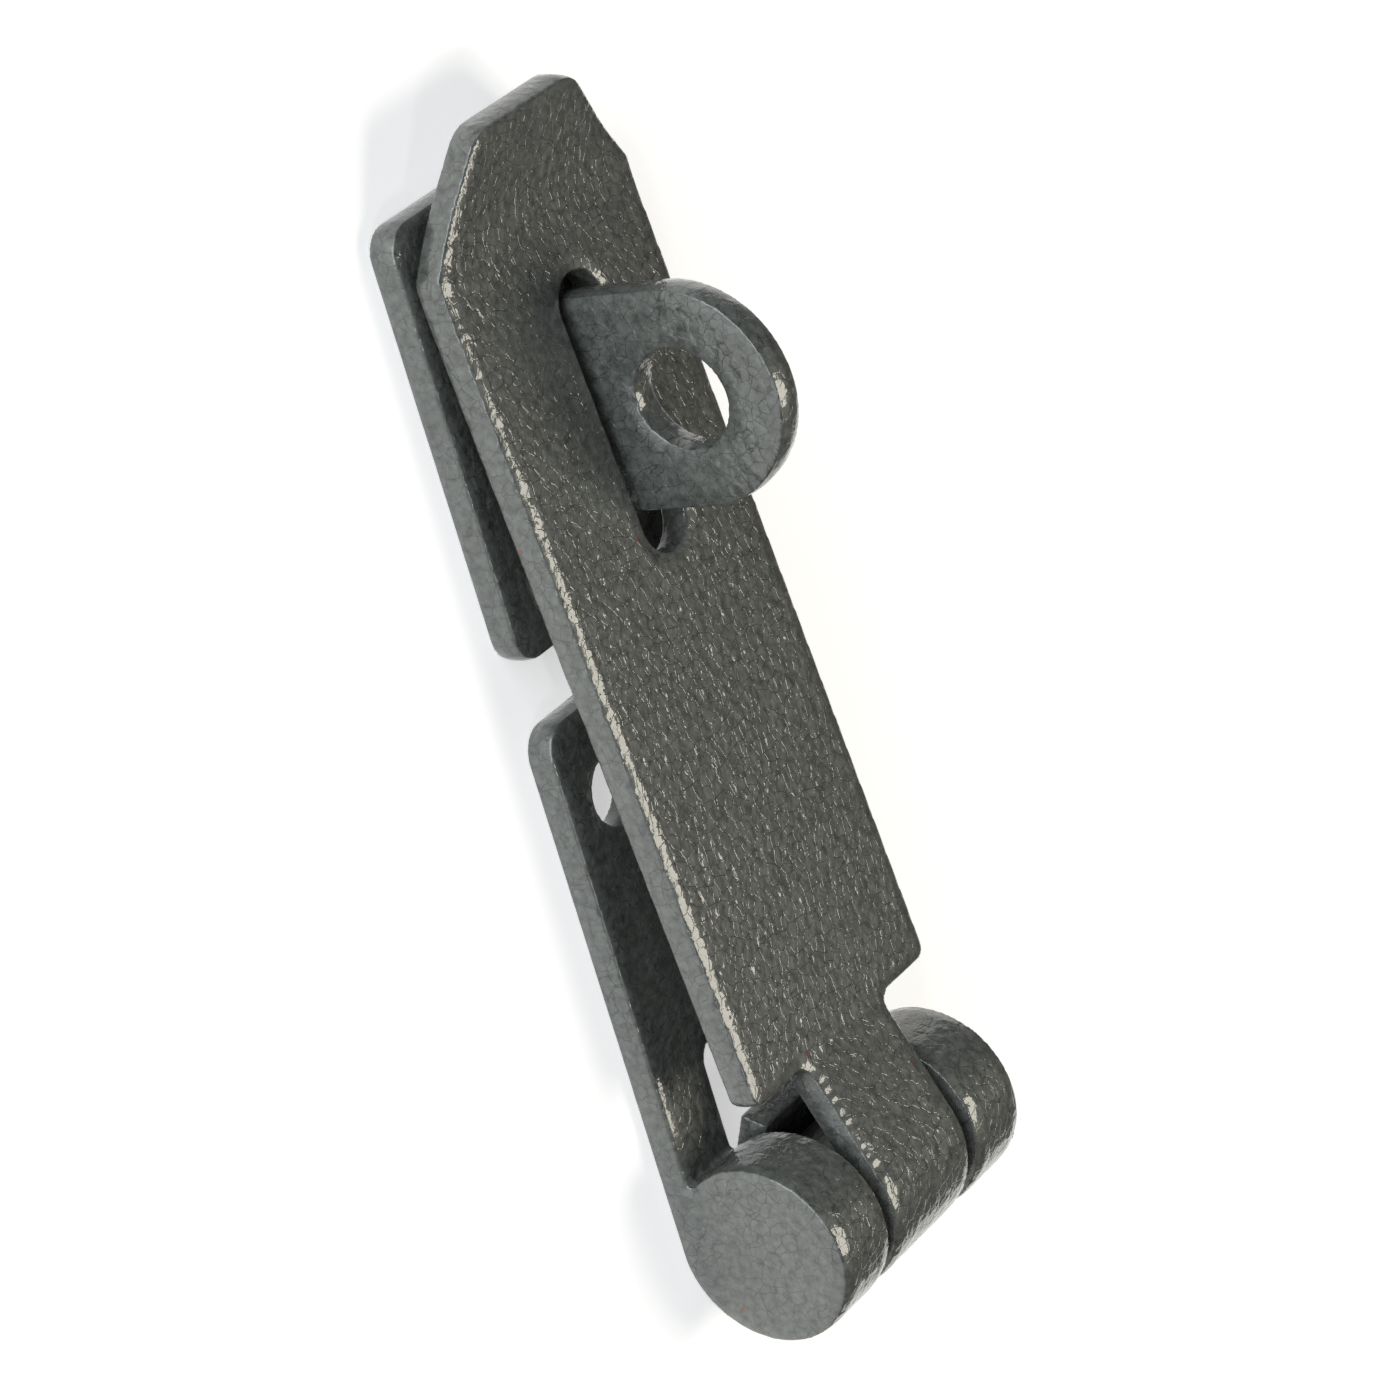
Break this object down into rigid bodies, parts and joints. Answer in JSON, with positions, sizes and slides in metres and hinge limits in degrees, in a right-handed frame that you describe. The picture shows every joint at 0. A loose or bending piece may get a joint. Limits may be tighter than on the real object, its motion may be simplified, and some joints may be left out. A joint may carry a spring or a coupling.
{
  "type": "hasp and staple",
  "caption": "Heavy flat-bar hasp with a concealed hinge pin, a slotted strap with a bent finger-lift tip, and a plate-mounted D-shaped padlock staple.",
  "frame": {"origin": "middle of the closed hasp's outline, on the mounting plane that the leaf and the staple plate share", "axes": "+X along the strap from its tip to the hinge, +Y along the hinge pin, +Z away from the door"},
  "size_m": [0.1485, 0.042, 0.0333],
  "materials": {
    "hammered_paint": "semi-gloss dark grey-green hammered paint",
    "pin_steel": "plain drawn bar, hidden"
  },
  "bodies": {
    "base": {"hinge_leaf": "hammered_paint", "hinge_pin": "pin_steel", "knuckle_plug_left": "hammered_paint", "knuckle_plug_right": "hammered_paint", "staple_plate": "hammered_paint", "staple_eye": "hammered_paint"},
    "strap": {"hasp_strap": "hammered_paint"}
  },
  "joints": [
    {"name": "strap_hinge", "type": "hinge", "parent": "base", "child": "strap", "pos_m": [0.06275, 0, 0.0115], "axis": [0, 1, 0], "range_deg": [0, 184]}
  ]
}
